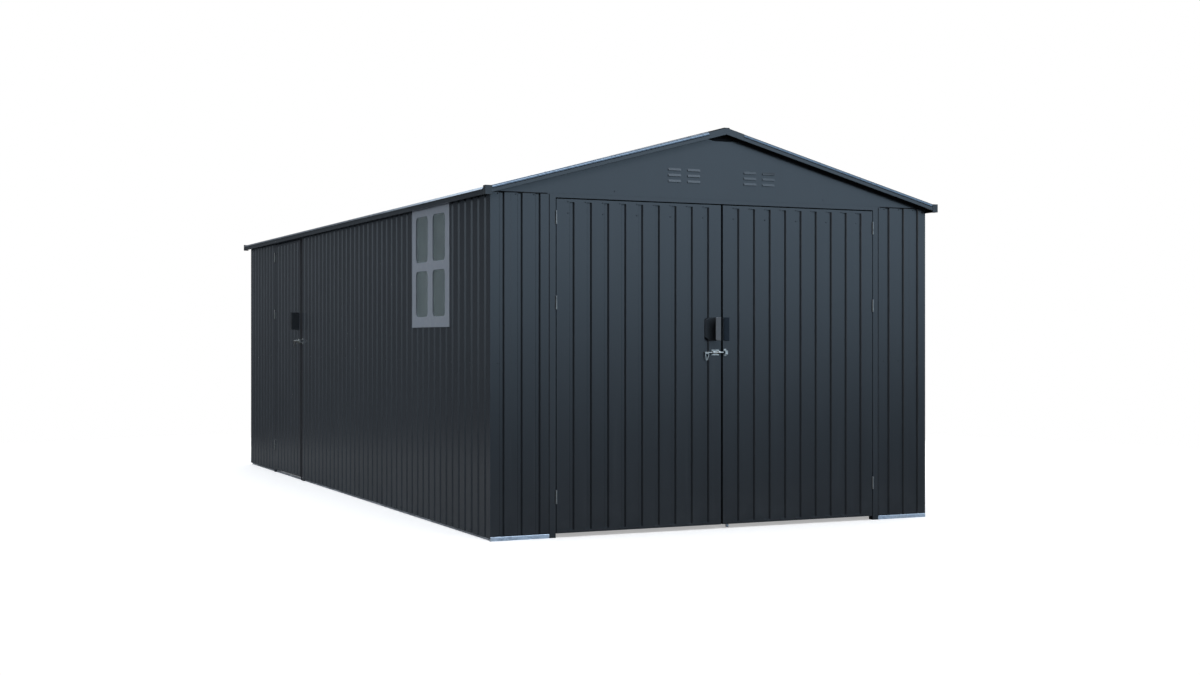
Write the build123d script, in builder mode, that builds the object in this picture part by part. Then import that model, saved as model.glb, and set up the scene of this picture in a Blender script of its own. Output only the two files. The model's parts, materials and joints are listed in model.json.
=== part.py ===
"""Metal storage shed: ribbed sheet walls on steel rails, a gable roof, double doors and a side door.

Millimetres. +Z is up, the double doors face -Y, the side door and window are in the -X wall.
The origin is on the ground at the centre of the footprint.
"""
import os
from math import atan2, cos, floor, radians, sin, tan

from build123d import *

# Overall sizes
shed_width = 2970
shed_depth = 6100
eave_line = 1998
roof_pitch = 15
eave_reach = 50
gable_reach = 60

# Ribbed sheet
sheet = 1.0
rib_pitch = 110
groove_mouth = 32
groove_floor = 18
groove_depth = 12

# Rails, posts and clearances
steel = 1.5
seat = 0.3
overrun = 5
panel_bottom = 15
base_rail_height = 45
base_rail_width = 40
sill_height = 18
sill_width = 25
top_rail_height = 45
top_rail_width = 35
mid_rail_height = 30
mid_rail_width = 30
mid_rail_level = 985
corner_leg = 75

# Front wall
front_panel_width = 360
jamb_width = 40
jamb_depth = 45
header_height = 45
gable_bottom = 1971
gable_lap = 14
vent_height = 59
back_panel_count = 2
right_panel_count = 3
middle_panel_count = 2

# Louvres in the gables
louvre_width = 84
louvre_height = 15
louvre_reach = 8
louvre_columns = 129
louvre_rows = 34
louvre_row_count = 3
hood_wall = 1.5
louvre_spread = 514
louvre_level = 2066

# Doors
door_bottom = 25
door_head = 1947
head_gap = 7
door_gap = 5
leaf_gap = 14
leaf_depth = 34
leaf_border = 16
stile_width = 25
door_rail_height = 30
door_rail_shares = (0.16, 0.5, 0.84)

# Side door and window, set out from the corners of the left wall
side_leaf_width = 876
side_door_from_back = 952
side_latch_gap = 45
stop_lap = 12
window_from_front = 677
window_width = 711
window_bottom = 1210
window_height = 760
window_plate = 5
window_lap = 30
window_border = 77
window_rail = 66
window_mullion = 93
window_transom = 55
pane_corner = 34
pane_sheet = 3
pane_lap = 8

# Hinges
hinge_low = 234
hinge_middle = 1347
hinge_high = 1835
hinge_height = 78
hinge_plate = 1.5
hinge_plate_depth = 28
hinge_reach = 5
knuckle_radius = 4.5
pin_radius = 2.5
pin_clearance = 0.3
knuckle_gap = 0.5

# Handles
handle_level = 1198
side_handle_level = 1283
handle_height = 140
handle_width = 78
handle_inset = 32
side_handle_inset = 62
handle_plate = 6
handle_reach = 60
handle_lip = 35
handle_chamfer = 30
handle_chamfer_height = 20
handle_corner = 12
strike_width = 38
strike_inset = 4

# Sliding bolts
latch_level = 1057
side_latch_level = 1122
latch_axis = 13
latch_rod_radius = 4
latch_clearance = 0.4
guide_inset = 14
side_guide_inset = 45
guide_length = 50
guide_height = 34
guide_plate = 2
guide_strap = 11
guide_ear = 9
bolt_tip = 9
bolt_loop_width = 30
bolt_loop_drop = 52
bolt_loop_foot_share = 0.3
bolt_loop_wire = 4
bolt_loop_corner = 4
bolt_loop_gap = 2
keeper_width = 17
keeper_wall = 3
keeper_hole = 16
keeper_height = 42
keeper_inset = 4
keeper_bite = 11
drop_bolt_radius = 5
drop_bolt_tip = 5
drop_bolt_inset = 52
drop_bolt_knob = 9
drop_bolt_knob_height = 22
drop_guide_wall = 4
drop_guide_height = 14

# Roof
roof_ridge_gap = 25
ridge_wing = 120
ridge_crown = 36
rake_height = 36
rake_flange = 34
rake_lip = 15
eave_trim_height = 38
eave_flange = 30
eave_lip = 15
cap_size = 36
cap_wall = 2
ridge_beam_width = 70
ridge_beam_height = 40
ridge_beam_inset = 60
purlin_size = 30
purlin_shares = (0.36, 0.72)
tie_beam_size = 40
rafter_size = 40

half_width = shed_width / 2
half_depth = shed_depth / 2
pitch_angle = radians(roof_pitch)
slope = tan(pitch_angle)
skin = groove_depth + sheet
fold = sheet * tan(atan2(groove_depth, (groove_mouth - groove_floor) / 2) / 2)
apex = eave_line + half_width * slope
gable_top = apex - vent_height
leaf_top = door_head - head_gap
hinge_levels = (hinge_low, hinge_middle, hinge_high)
door_start = front_panel_width + jamb_width + door_gap
door_stop = half_width - leaf_gap / 2
side_start = side_door_from_back
side_stop = side_start + side_leaf_width
window_stop = shed_depth - window_from_front
window_start = window_stop - window_width
rail_top = eave_line + skin * slope - skin / cos(pitch_angle) - seat
end_wall_top = gable_bottom + gable_lap
eave_edge = half_width + eave_reach
roof_end = half_depth + gable_reach

# Each wall is its corner and the direction that runs along it, with the outside on the right hand
front = ((-half_width, -half_depth), (1, 0))
right = ((half_width, -half_depth), (0, 1))
back = ((half_width, half_depth), (-1, 0))
left = ((-half_width, half_depth), (0, -1))


def plan(wall, height=0):
    """Level plane on a wall: x runs along it, y runs into the shed."""
    corner, along = wall
    return Plane(origin=(*corner, height), x_dir=(*along, 0), z_dir=(0, 0, 1))


def cut(wall, distance=0):
    """Plane across a wall at a distance along it: x runs into the shed, y runs up."""
    corner, along = wall
    origin = Vector(*corner, 0) + Vector(*along, 0) * distance
    return Plane(origin=origin, x_dir=(-along[1], along[0], 0), z_dir=(*along, 0))


def elevation(wall, reach=0):
    """Plane on a wall's face, moved outwards by reach: x runs along it, y runs up."""
    corner, along = wall
    outward = Vector(along[1], -along[0], 0)
    return Plane(origin=Vector(*corner, 0) + outward * reach, x_dir=(*along, 0), z_dir=outward)


def roof_height(x, rise=0):
    """Height of the roof's outer plane at a distance from the ridge, moved along its normal by rise."""
    return apex - x * slope + rise / cos(pitch_angle)


def slope_plane(x, y):
    """Plane across the right-hand roof slope: x runs towards +Y, y along the normal, z down the slope."""
    down = (cos(pitch_angle), 0, -sin(pitch_angle))
    return Plane(origin=(x, y, roof_height(x)), x_dir=(0, 1, 0), z_dir=down)


def outline(plane, points):
    with BuildSketch(plane) as section:
        with BuildLine():
            Polyline(*points, close=True)
        make_face()
    return section.sketch


def rectangle(plane, x0, x1, y0, y1):
    with BuildSketch(plane) as section:
        with Locations(((x0 + x1) / 2, (y0 + y1) / 2)):
            Rectangle(x1 - x0, y1 - y0)
    return section.sketch


def disc(plane, x, y, radius):
    with BuildSketch(plane) as section:
        with Locations((x, y)):
            Circle(radius)
    return section.sketch


def channel(a0, a1, b0, b1, wall):
    """Three-sided channel, closed at b0 and open at b1."""
    web = b0 + wall if b1 > b0 else b0 - wall
    outer = [(a0, b1), (a0, b0), (a1, b0), (a1, b1)]
    inner = [(a1 - wall, b1), (a1 - wall, web), (a0 + wall, web), (a0 + wall, b1)]
    return outer + inner


def turned(points):
    return [(b, a) for a, b in points]


def centred_grooves(length):
    """Groove centres at the rib pitch, centred on a sheet of this length."""
    count = floor(length / rib_pitch)
    first = (length - (count - 1) * rib_pitch) / 2
    return [first + rib_pitch * step for step in range(count)]


def grooves_between(grooves, start, stop):
    """The grooves that lie wholly on one sheet of a wall, clear of its edges."""
    clear = groove_mouth / 2 + fold
    return [groove for groove in grooves if start + clear < groove < stop - clear]


def ribbed(plane, start, stop, grooves, side=1):
    """Section of a ribbed sheet: flats at zero, grooves pressed towards y (or -y where side is -1)."""
    half_mouth = groove_mouth / 2
    half_floor = groove_floor / 2
    outer = [(start, 0)]
    inner = [(start, side * sheet)]
    for centre in grooves:
        outer += [(centre - half_mouth, 0), (centre - half_floor, side * groove_depth)]
        outer += [(centre + half_floor, side * groove_depth), (centre + half_mouth, 0)]
        inner += [(centre - half_mouth - fold, side * sheet), (centre - half_floor - fold, side * skin)]
        inner += [(centre + half_floor + fold, side * skin), (centre + half_mouth + fold, side * sheet)]
    outer.append((stop, 0))
    inner.append((stop, side * sheet))
    return outline(plane, outer + inner[::-1])


def finish(piece, name):
    piece.label = name
    export_step(piece, f"parts/{name}.step")


os.makedirs("parts", exist_ok=True)


# Rails at the foot, the top and the middle of the walls
def angle_points(width, height):
    """Foot angle: a web behind the sheet and a flange on the ground."""
    low = [(skin, 0), (skin + width, 0), (skin + width, steel)]
    return low + [(skin + steel, steel), (skin + steel, height), (skin, height)]


side_rail_start = skin + base_rail_width + seat
side_rail_stop = shed_depth - side_rail_start
side_door_span = (side_start - door_gap - jamb_width, side_stop + side_latch_gap + jamb_width)
front_rail_spans = (
    (skin, front_panel_width),
    (shed_width - front_panel_width, shed_width - skin),
)
base_rail_spans = [(front, *span) for span in front_rail_spans]
base_rail_spans.append((back, skin, shed_width - skin))
base_rail_spans.append((right, side_rail_start, side_rail_stop))
base_rail_spans.append((left, side_rail_start, side_door_span[0]))
base_rail_spans.append((left, side_door_span[1], side_rail_stop))
sill_start = side_start - door_gap + seat
sill_stop = side_stop + side_latch_gap - seat

foot_points = angle_points(base_rail_width, base_rail_height)
sill_points = angle_points(sill_width, sill_height)

with BuildPart() as base_rails:
    for wall, start, stop in base_rail_spans:
        extrude(outline(cut(wall, start), foot_points), amount=stop - start)
    extrude(outline(cut(left, sill_start), sill_points), amount=sill_stop - sill_start)
finish(base_rails.part, "base_rails")


def top_angle(top):
    """Head angle: a web behind the sheet and a flange at the top."""
    low = top - top_rail_height
    inner = skin + top_rail_width
    web = [(skin, low), (skin + steel, low), (skin + steel, top - steel)]
    return web + [(inner, top - steel), (inner, top), (skin, top)]


side_top_start = skin + top_rail_width + seat
side_top_stop = shed_depth - side_top_start
top_rail_spans = [(front, *span, end_wall_top) for span in front_rail_spans]
top_rail_spans.append((back, skin, shed_width - skin, end_wall_top))
top_rail_spans.append((right, side_top_start, side_top_stop, rail_top))
top_rail_spans.append((left, side_top_start, side_door_span[0], rail_top))
top_rail_spans.append((left, side_door_span[1], side_top_stop, rail_top))

with BuildPart() as wall_top_rails:
    for wall, start, stop, top in top_rail_spans:
        extrude(outline(cut(wall, start), top_angle(top)), amount=stop - start)
finish(wall_top_rails.part, "wall_top_rails")

post_end = skin + corner_leg
mid_rail_spans = [
    (front, post_end, front_panel_width),
    (front, shed_width - front_panel_width, shed_width - post_end),
    (back, post_end, shed_width - post_end),
    (right, post_end, shed_depth - post_end),
    (left, post_end, side_door_span[0]),
    (left, side_door_span[1], shed_depth - post_end),
]
mid_rail_top = mid_rail_level + mid_rail_height
mid_rail_points = turned(channel(mid_rail_level, mid_rail_top, skin, skin + mid_rail_width, steel))

with BuildPart() as wall_mid_rails:
    for wall, start, stop in mid_rail_spans:
        extrude(outline(cut(wall, start), mid_rail_points), amount=stop - start)
finish(wall_mid_rails.part, "wall_mid_rails")

# Corner posts stand on the foot rails and carry the head rails
corner_points = [
    (skin, skin),
    (post_end, skin),
    (post_end, skin + steel),
    (skin + steel, skin + steel),
    (skin + steel, post_end),
    (skin, post_end),
]
post_top = end_wall_top - top_rail_height

with BuildPart() as corner_posts:
    for wall in (front, right, back, left):
        extrude(outline(plan(wall, base_rail_height), corner_points), amount=post_top - base_rail_height)
finish(corner_posts.part, "corner_posts")


# Ribbed wall sheets
def wall_sheet(wall, start, stop, grooves, bottom, top):
    with BuildPart() as wall_panel:
        section = ribbed(plan(wall, bottom), start, stop, grooves_between(grooves, start, stop))
        extrude(section, amount=top - bottom)
    return wall_panel.part


front_grooves = centred_grooves(front_panel_width)
front_wall_panel_left = wall_sheet(front, 0, front_panel_width, front_grooves, panel_bottom, end_wall_top)
finish(front_wall_panel_left, "front_wall_panel_left")

with BuildPart() as front_wall_panel_right:
    mirror(front_wall_panel_left, about=Plane.YZ)
finish(front_wall_panel_right.part, "front_wall_panel_right")


def sheet_edges(start, stop, count):
    return [start + (stop - start) * step / count for step in range(count + 1)]


def run_of_sheets(wall, name, grooves, start, stop, count, top):
    edges = sheet_edges(start, stop, count)
    for number in range(count):
        piece = wall_sheet(wall, edges[number], edges[number + 1], grooves, panel_bottom, top)
        finish(piece, f"{name}_{number + 1}" if count > 1 else name)


side_top = eave_line - skin / cos(pitch_angle) - seat
side_grooves = centred_grooves(shed_depth)
back_grooves = centred_grooves(shed_width)
run_of_sheets(back, "back_wall_panel", back_grooves, 0, shed_width, back_panel_count, end_wall_top)
side_stretch = shed_depth - sheet
run_of_sheets(right, "right_wall_panel", side_grooves, sheet, side_stretch, right_panel_count, side_top)

opening_start = window_start + window_lap
opening_stop = window_stop - window_lap
opening_bottom = window_bottom + window_lap
run_of_sheets(left, "left_wall_panel_rear", side_grooves, sheet, side_door_span[0], 1, side_top)
middle_start = side_door_span[1]
middle = "left_wall_panel_middle"
run_of_sheets(left, middle, side_grooves, middle_start, opening_start, middle_panel_count, side_top)
run_of_sheets(left, "left_wall_panel_front", side_grooves, opening_stop, side_stretch, 1, side_top)
under_window = wall_sheet(left, opening_start, opening_stop, side_grooves, panel_bottom, opening_bottom)
finish(under_window, "left_wall_panel_under_window")

# Frames of the doorways
jamb_points = channel(front_panel_width, front_panel_width + jamb_width, 0, jamb_depth, steel)

with BuildPart() as front_door_jambs:
    extrude(outline(plan(front), jamb_points), amount=door_head)
    mirror(about=Plane.YZ)
finish(front_door_jambs.part, "front_door_jambs")

header_points = turned(channel(door_head, door_head + header_height, 0, jamb_depth, steel))

with BuildPart() as front_door_header:
    header_start = front_panel_width
    extrude(outline(cut(front, header_start), header_points), amount=shed_width - 2 * header_start)
finish(front_door_header.part, "front_door_header")

hinge_jamb_points = channel(side_door_span[0], side_start - door_gap, 0, jamb_depth, steel)
latch_jamb_start = side_stop + side_latch_gap
latch_jamb_points = [
    (side_door_span[1], jamb_depth),
    (side_door_span[1], 0),
    (latch_jamb_start, 0),
    (latch_jamb_start, jamb_depth - steel),
    (side_stop - stop_lap, jamb_depth - steel),
    (side_stop - stop_lap, jamb_depth),
    (latch_jamb_start + steel, jamb_depth),
    (latch_jamb_start + steel, steel),
    (side_door_span[1] - steel, steel),
    (side_door_span[1] - steel, jamb_depth),
]

with BuildPart() as side_door_jambs:
    for points in (hinge_jamb_points, latch_jamb_points):
        extrude(outline(plan(left), points), amount=door_head)
finish(side_door_jambs.part, "side_door_jambs")

side_header_points = turned(channel(door_head, side_top, 0, jamb_depth, steel))

with BuildPart() as side_door_header:
    section = outline(cut(left, side_door_span[0]), side_header_points)
    extrude(section, amount=side_door_span[1] - side_door_span[0])
finish(side_door_header.part, "side_door_header")

# Gable sheets with pressed louvres and an open vent under the ridge
vent_half = (apex - skin / cos(pitch_angle) - seat - gable_top) / slope
gable_points = [
    (0, gable_bottom),
    (shed_width, gable_bottom),
    (shed_width, side_top),
    (half_width + vent_half, gable_top),
    (half_width - vent_half, gable_top),
    (0, side_top),
]
louvre_places = [
    (half_width + group * louvre_spread / 2 + column * louvre_columns / 2, louvre_level + row * louvre_rows)
    for group in (-1, 1)
    for column in (-1, 1)
    for row in range(louvre_row_count)
]
hood_points = [(0, 0), (-louvre_reach, 0), (0, louvre_height)]
hood_inside = louvre_height * (1 - hood_wall / louvre_reach)
slot_points = [
    (sheet + overrun, 0),
    (sheet + overrun, hood_inside),
    (0, hood_inside),
    (hood_wall - louvre_reach, 0),
]

with BuildPart() as front_gable_panel:
    extrude(outline(elevation(front), gable_points), amount=sheet)
    for x, z in louvre_places:
        hood = [(reach - sheet, z + height) for reach, height in hood_points]
        slot = [(reach - sheet, z + height) for reach, height in slot_points]
        hood_start = x - louvre_width / 2
        extrude(outline(cut(front, hood_start), hood), amount=louvre_width)
        slot_section = outline(cut(front, hood_start + sheet), slot)
        extrude(slot_section, amount=louvre_width - 2 * sheet, mode=Mode.SUBTRACT)
finish(front_gable_panel.part, "front_gable_panel")

with BuildPart() as back_gable_panel:
    mirror(front_gable_panel.part, about=Plane.XZ)
finish(back_gable_panel.part, "back_gable_panel")

# Window: one moulded frame with four rounded lights, and its clear sheets behind
pane_width = (window_width - window_mullion) / 2 - window_border
pane_height = (window_height - window_transom) / 2 - window_rail
pane_step_x = (pane_width + window_mullion) / 2
pane_step_z = (pane_height + window_transom) / 2
window_middle = (window_start + window_stop) / 2
pane_middle = window_bottom + window_height / 2
pane_places = [
    (window_middle + side * pane_step_x, pane_middle + level * pane_step_z)
    for side in (-1, 1)
    for level in (-1, 1)
]

with BuildPart() as window_frame:
    with BuildSketch(elevation(left)):
        with Locations((window_middle, pane_middle)):
            Rectangle(window_width, window_height)
        with Locations(*pane_places):
            RectangleRounded(pane_width, pane_height, pane_corner, mode=Mode.SUBTRACT)
    extrude(amount=window_plate)
finish(window_frame.part, "window_frame")

with BuildPart() as window_panes:
    with BuildSketch(elevation(left, -pane_sheet)):
        with Locations(*pane_places):
            Rectangle(pane_width + 2 * pane_lap, pane_height + 2 * pane_lap)
    extrude(amount=pane_sheet)
finish(window_panes.part, "window_panes")


# Door leaves: a pressed skin with closed groove ends over a channel frame
def door_skin(wall, start, stop):
    grooves = [start + g for g in centred_grooves(stop - start)]
    with BuildPart() as leaf_skin:
        field = leaf_top - door_bottom - 2 * leaf_border
        extrude(ribbed(plan(wall, door_bottom + leaf_border), start, stop, grooves), amount=field)
        for level in (door_bottom, leaf_top - leaf_border):
            extrude(rectangle(plan(wall, level), start, stop, 0, sheet), amount=leaf_border)
    return leaf_skin.part


def door_frame(wall, start, stop):
    rail_start = start + stile_width + seat
    rail_length = stop - start - 2 * (stile_width + seat)
    hinge_stile = turned(channel(sheet, leaf_depth, start, start + stile_width, steel))
    latch_stile = turned(channel(sheet, leaf_depth, stop, stop - stile_width, steel))
    with BuildPart() as leaf_frame:
        for stile in (hinge_stile, latch_stile):
            extrude(outline(plan(wall, door_bottom), stile), amount=leaf_top - door_bottom)
        for level in (door_bottom, leaf_top - leaf_border):
            section = rectangle(cut(wall, rail_start), sheet, leaf_depth, level, level + leaf_border)
            extrude(section, amount=rail_length)
        for share in door_rail_shares:
            level = door_bottom + share * (leaf_top - door_bottom)
            rail = turned(channel(level, level + door_rail_height, leaf_depth, skin, steel))
            extrude(outline(cut(wall, rail_start), rail), amount=rail_length)
    return leaf_frame.part


# Butt hinges: the knuckles stand just proud of the face, on the joint's axis
def hinge_fixed(wall, start):
    edge = start - door_gap
    axis = start - door_gap / 2
    knuckle = (hinge_height - 2 * knuckle_gap) / 3
    with BuildPart() as fixed_halves:
        for level in hinge_levels:
            low = level - hinge_height / 2
            plate = rectangle(plan(wall, low), edge, edge + hinge_plate, seat, hinge_plate_depth)
            extrude(plate, amount=hinge_height)
            extrude(disc(plan(wall, low), axis, -hinge_reach, pin_radius), amount=hinge_height)
            for foot in (low, low + hinge_height - knuckle):
                extrude(disc(plan(wall, foot), axis, -hinge_reach, knuckle_radius), amount=knuckle)
                neck_plane = plan(wall, foot)
                neck = rectangle(neck_plane, edge, edge + hinge_plate, -hinge_reach, hinge_plate_depth)
                extrude(neck, amount=knuckle)
    return fixed_halves.part


def hinge_moving(wall, start):
    axis = start - door_gap / 2
    knuckle = (hinge_height - 2 * knuckle_gap) / 3 - knuckle_gap
    with BuildPart() as moving_halves:
        for level in hinge_levels:
            low = level - hinge_height / 2
            plate = rectangle(plan(wall, low), start - hinge_plate, start, seat, hinge_plate_depth)
            extrude(plate, amount=hinge_height)
            foot = level - knuckle / 2
            extrude(disc(plan(wall, foot), axis, -hinge_reach, knuckle_radius), amount=knuckle)
            neck = rectangle(plan(wall, foot), start - hinge_plate, start, -hinge_reach, hinge_plate_depth)
            extrude(neck, amount=knuckle)
            bore = disc(plan(wall, low), axis, -hinge_reach, pin_radius + pin_clearance)
            extrude(bore, amount=hinge_height, mode=Mode.SUBTRACT)
    return moving_halves.part


# Pull handle: a plate with cut corners and a hooked lip to grip
def pull_handle(wall, stop, level, inset):
    near = stop - inset
    far = near - handle_width
    low = level - handle_height / 2
    high = low + handle_height
    plate_points = [
        (near, low),
        (near, high),
        (far + handle_chamfer, high),
        (far, high - handle_chamfer_height),
        (far, low + handle_chamfer_height),
        (far + handle_chamfer, low),
    ]
    with BuildPart() as handle:
        extrude(outline(elevation(wall), plate_points), amount=handle_plate)
        grip = rectangle(elevation(wall), near - handle_plate, near, low, high)
        extrude(grip, amount=handle_reach)
        with BuildSketch(elevation(wall, handle_reach - handle_plate)) as lip:
            with Locations((near - handle_lip / 2, level)):
                Rectangle(handle_lip, handle_height)
            fillet(lip.vertices().group_by(Axis.X)[0], handle_corner)
        extrude(amount=handle_plate)
    return handle.part


# Barrel bolt: guide on the leaf, a rod with a wire loop to pull, and a staple that it shoots into
def latch_guide(wall, stop, level, inset):
    start = stop - inset - guide_length
    with BuildPart() as guide:
        low = level - guide_height / 2
        plate = rectangle(elevation(wall), start, start + guide_length, low, low + guide_height)
        extrude(plate, amount=guide_plate)
        for foot in (start, start + guide_length - guide_strap):
            section = rectangle(cut(wall, foot), -latch_axis, 0, level - guide_ear, level + guide_ear)
            extrude(section, amount=guide_strap)
            extrude(disc(cut(wall, foot), -latch_axis, level, guide_ear), amount=guide_strap)
        bore = disc(cut(wall, start), -latch_axis, level, latch_rod_radius + latch_clearance)
        extrude(bore, amount=guide_length, mode=Mode.SUBTRACT)
    return guide.part


def bolt_tail(stop, inset, gap):
    """Where the bolt ends when it is drawn back, with its loop still clear of the guide when shot."""
    travel = gap - bolt_tip + keeper_inset + keeper_bite
    return stop - inset - guide_length - bolt_loop_gap - travel - bolt_loop_width


def latch_bolt(wall, stop, level, tail):
    with BuildPart() as bolt:
        extrude(disc(cut(wall, tail), -latch_axis, level, latch_rod_radius), amount=stop + bolt_tip - tail)
    return bolt.part


def latch_loop(wall, level, tail):
    half_wire = bolt_loop_wire / 2
    top = level - latch_rod_radius - seat - half_wire
    start = tail + half_wire
    foot = start + bolt_loop_width * bolt_loop_foot_share
    loop_points = [(start, top), (tail + bolt_loop_width - half_wire, top), (foot, top - bolt_loop_drop)]
    with BuildPart() as wire_loop:
        with BuildSketch(elevation(wall, latch_axis - half_wire)):
            with BuildLine():
                FilletPolyline(*loop_points, radius=bolt_loop_corner, close=True)
            trace(line_width=bolt_loop_wire)
        extrude(amount=bolt_loop_wire)
    return wire_loop.part


def latch_keeper(wall, start, level):
    half_hole = keeper_hole / 2
    half_strap = half_hole + keeper_wall
    half_foot = keeper_height / 2
    reach = latch_axis + half_strap
    upper = [(0, half_hole), (0, half_foot), (-keeper_wall, half_foot)]
    upper += [(-keeper_wall, half_strap), (-reach, half_strap)]
    inner = [(keeper_wall - reach, -half_hole), (keeper_wall - reach, half_hole)]
    lower = [(x, -y) for x, y in upper[::-1]]
    points = [(x, level + y) for x, y in upper + lower + inner]
    with BuildPart() as keeper:
        extrude(outline(cut(wall, start), points), amount=keeper_width)
    return keeper.part


# Left front leaf
left_door_skin = door_skin(front, door_start, door_stop)
finish(left_door_skin, "left_door_skin")
left_door_frame = door_frame(front, door_start, door_stop)
finish(left_door_frame, "left_door_frame")
left_door_hinges = hinge_moving(front, door_start)
finish(left_door_hinges, "left_door_hinges")
left_jamb_hinges = hinge_fixed(front, door_start)
finish(pull_handle(front, door_stop, handle_level, handle_inset), "left_door_handle")
finish(latch_guide(front, door_stop, latch_level, guide_inset), "latch_guide")
latch_tail = bolt_tail(door_stop, guide_inset, leaf_gap)
finish(latch_bolt(front, door_stop, latch_level, latch_tail), "latch_bolt")
finish(latch_loop(front, latch_level, latch_tail), "latch_loop")

# Right front leaf, handed from the left one
with BuildPart() as right_door_skin:
    mirror(left_door_skin, about=Plane.YZ)
finish(right_door_skin.part, "right_door_skin")

with BuildPart() as right_door_frame:
    mirror(left_door_frame, about=Plane.YZ)
finish(right_door_frame.part, "right_door_frame")

with BuildPart() as right_door_hinges:
    mirror(left_door_hinges, about=Plane.YZ)
finish(right_door_hinges.part, "right_door_hinges")

with BuildPart() as front_jamb_hinges:
    add(left_jamb_hinges)
    mirror(about=Plane.YZ)
finish(front_jamb_hinges.part, "front_jamb_hinges")

right_leaf_edge = door_stop + leaf_gap
finish(latch_keeper(front, right_leaf_edge + keeper_inset, latch_level), "latch_keeper")

strike_start = right_leaf_edge + strike_inset
strike_low = handle_level - handle_height / 2

with BuildPart() as right_door_strike:
    plate = rectangle(
        elevation(front), strike_start, strike_start + strike_width, strike_low, strike_low + handle_height
    )
    extrude(plate, amount=handle_plate)
    chamfer(right_door_strike.faces().sort_by(Axis.Y)[0].edges(), handle_plate / 3)
finish(right_door_strike.part, "right_door_strike")

# Drop bolt behind the right leaf: it rests on the upper of its two guides
drop_place = right_leaf_edge + drop_bolt_inset
drop_half = drop_bolt_radius + latch_clearance + drop_guide_wall
drop_axis = leaf_depth + drop_half
upper_guide = door_bottom + door_rail_shares[0] * (leaf_top - door_bottom)
knob_bottom = upper_guide + drop_guide_height + seat

with BuildPart() as drop_bolt_guides:
    for level in (door_bottom, upper_guide):
        foot = plan(front, level)
        block = rectangle(foot, drop_place - drop_half, drop_place + drop_half, leaf_depth, drop_axis)
        extrude(block, amount=drop_guide_height)
        extrude(disc(foot, drop_place, drop_axis, drop_half), amount=drop_guide_height)
        bore = disc(foot, drop_place, drop_axis, drop_bolt_radius + latch_clearance)
        extrude(bore, amount=drop_guide_height, mode=Mode.SUBTRACT)
finish(drop_bolt_guides.part, "drop_bolt_guides")

with BuildPart() as drop_bolt:
    rod = disc(plan(front, drop_bolt_tip), drop_place, drop_axis, drop_bolt_radius)
    extrude(rod, amount=knob_bottom - drop_bolt_tip)
    knob = disc(plan(front, knob_bottom), drop_place, drop_axis, drop_bolt_knob)
    extrude(knob, amount=drop_bolt_knob_height)
    chamfer(drop_bolt.edges().group_by(Axis.Z)[-1], drop_bolt_knob / 3)
finish(drop_bolt.part, "drop_bolt")

# Side door in the left wall
finish(door_skin(left, side_start, side_stop), "side_door_skin")
finish(door_frame(left, side_start, side_stop), "side_door_frame")
finish(hinge_moving(left, side_start), "side_door_hinges")
finish(hinge_fixed(left, side_start), "side_jamb_hinges")
finish(pull_handle(left, side_stop, side_handle_level, side_handle_inset), "side_door_handle")
finish(latch_guide(left, side_stop, side_latch_level, side_guide_inset), "side_latch_guide")
side_latch_tail = bolt_tail(side_stop, side_guide_inset, side_latch_gap)
finish(latch_bolt(left, side_stop, side_latch_level, side_latch_tail), "side_latch_bolt")
finish(latch_loop(left, side_latch_level, side_latch_tail), "side_latch_loop")
finish(latch_keeper(left, latch_jamb_start + keeper_inset, side_latch_level), "side_latch_keeper")

# Roof sheets, ribs running down the slope
roof_length = 2 * (roof_end - sheet)
sheet_start = slope_plane(roof_ridge_gap, sheet - roof_end)
sheet_run = (eave_edge - sheet - seat - roof_ridge_gap) / cos(pitch_angle)

with BuildPart() as roof_sheet_right:
    extrude(ribbed(sheet_start, 0, roof_length, centred_grooves(roof_length), side=-1), amount=sheet_run)
finish(roof_sheet_right.part, "roof_sheet_right")

with BuildPart() as roof_sheet_left:
    mirror(roof_sheet_right.part, about=Plane.YZ)
finish(roof_sheet_left.part, "roof_sheet_left")


def across(y):
    """Upright plane across the shed: x runs towards the left wall, y runs up."""
    return Plane(origin=(0, y, 0), x_dir=(-1, 0, 0), z_dir=(0, 1, 0))


# Ridge cap with a raised crown, lying on the rake trims
half_crown = ridge_crown / 2
crown_bottom = roof_height(0, sheet) + seat
crown_edge = half_crown + sheet
cap_inside = [
    (ridge_wing, roof_height(ridge_wing, sheet)),
    (half_crown, roof_height(half_crown, sheet)),
    (half_crown, crown_bottom),
]
cap_outside = [
    (ridge_wing, roof_height(ridge_wing, 2 * sheet)),
    (crown_edge, roof_height(crown_edge, 2 * sheet)),
    (crown_edge, crown_bottom + sheet),
]
cap_points = cap_inside + [(-x, z) for x, z in cap_inside[::-1]]
cap_points += [(-x, z) for x, z in cap_outside] + cap_outside[::-1]

with BuildPart() as ridge_cap:
    extrude(outline(across(-roof_end), cap_points), amount=2 * roof_end)
finish(ridge_cap.part, "ridge_cap")

# Rake trims: channels over the sloping edges, mitred at the ridge
rake_points = [
    (0, -rake_height),
    (0, sheet),
    (rake_flange, sheet),
    (rake_flange, 0),
    (sheet, 0),
    (sheet, sheet - rake_height),
    (rake_lip, sheet - rake_height),
    (rake_lip, -rake_height),
]
rake_run = (eave_edge + 2 * rake_height) / cos(pitch_angle)

with BuildPart() as front_rake_trims:
    extrude(outline(slope_plane(-rake_height, -roof_end), rake_points), amount=rake_run)
    split(bisect_by=Plane.YZ.offset(seat / 2), keep=Keep.TOP)
    split(bisect_by=Plane.YZ.offset(eave_edge), keep=Keep.BOTTOM)
    mirror(about=Plane.YZ)
finish(front_rake_trims.part, "front_rake_trims")

with BuildPart() as back_rake_trims:
    mirror(front_rake_trims.part, about=Plane.XZ)
finish(back_rake_trims.part, "back_rake_trims")

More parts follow.
